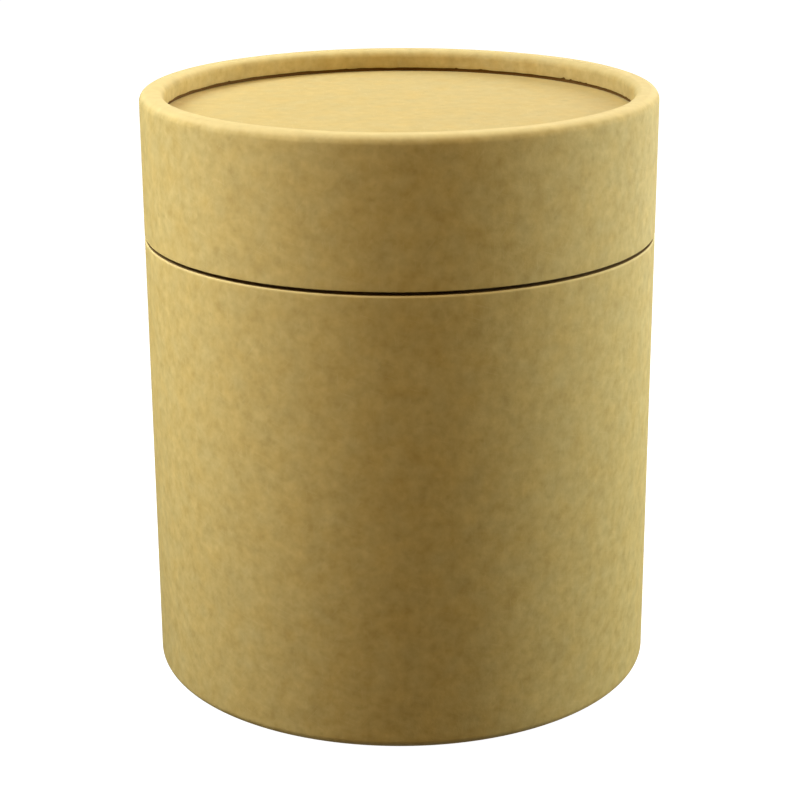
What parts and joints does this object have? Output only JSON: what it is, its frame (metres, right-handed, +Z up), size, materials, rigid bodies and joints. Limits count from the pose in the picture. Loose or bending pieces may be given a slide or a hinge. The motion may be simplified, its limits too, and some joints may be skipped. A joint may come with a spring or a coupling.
{
  "type": "cylindrical gift tube box",
  "caption": "Round kraft paper gift box: a slip-on lid with a rolled rim and sunk top disc closes flush over the neck of a rolled-foot base.",
  "frame": {"origin": "centre of the foot's underside, on the surface that the box stands on", "axes": "+Z up along the tube's axis, towards the lid; +Y towards the back, where the wrapped sheets meet"},
  "size_m": [0.085, 0.085, 0.099],
  "materials": {
    "kraft_sheet": "matte kraft paper",
    "lining_paper": "plain matte kraft paper",
    "wound_board": "raw wound board"
  },
  "bodies": {
    "base": {"base_wrap": "kraft_sheet", "base_tube": "wound_board", "base_liner": "lining_paper", "base_disc_facing": "kraft_sheet", "base_disc": "wound_board", "base_disc_lining": "lining_paper", "neck_wrap": "kraft_sheet", "neck_tube": "wound_board", "neck_liner": "lining_paper"},
    "lid": {"lid_wrap": "kraft_sheet", "lid_tube": "wound_board", "lid_liner": "lining_paper", "lid_disc_facing": "kraft_sheet", "lid_disc": "wound_board", "lid_disc_lining": "lining_paper"}
  },
  "joints": [
    {"name": "lid_lift", "type": "slide", "parent": "base", "child": "lid", "axis": [0, 0, 1], "range_m": [0, 0.09]}
  ]
}
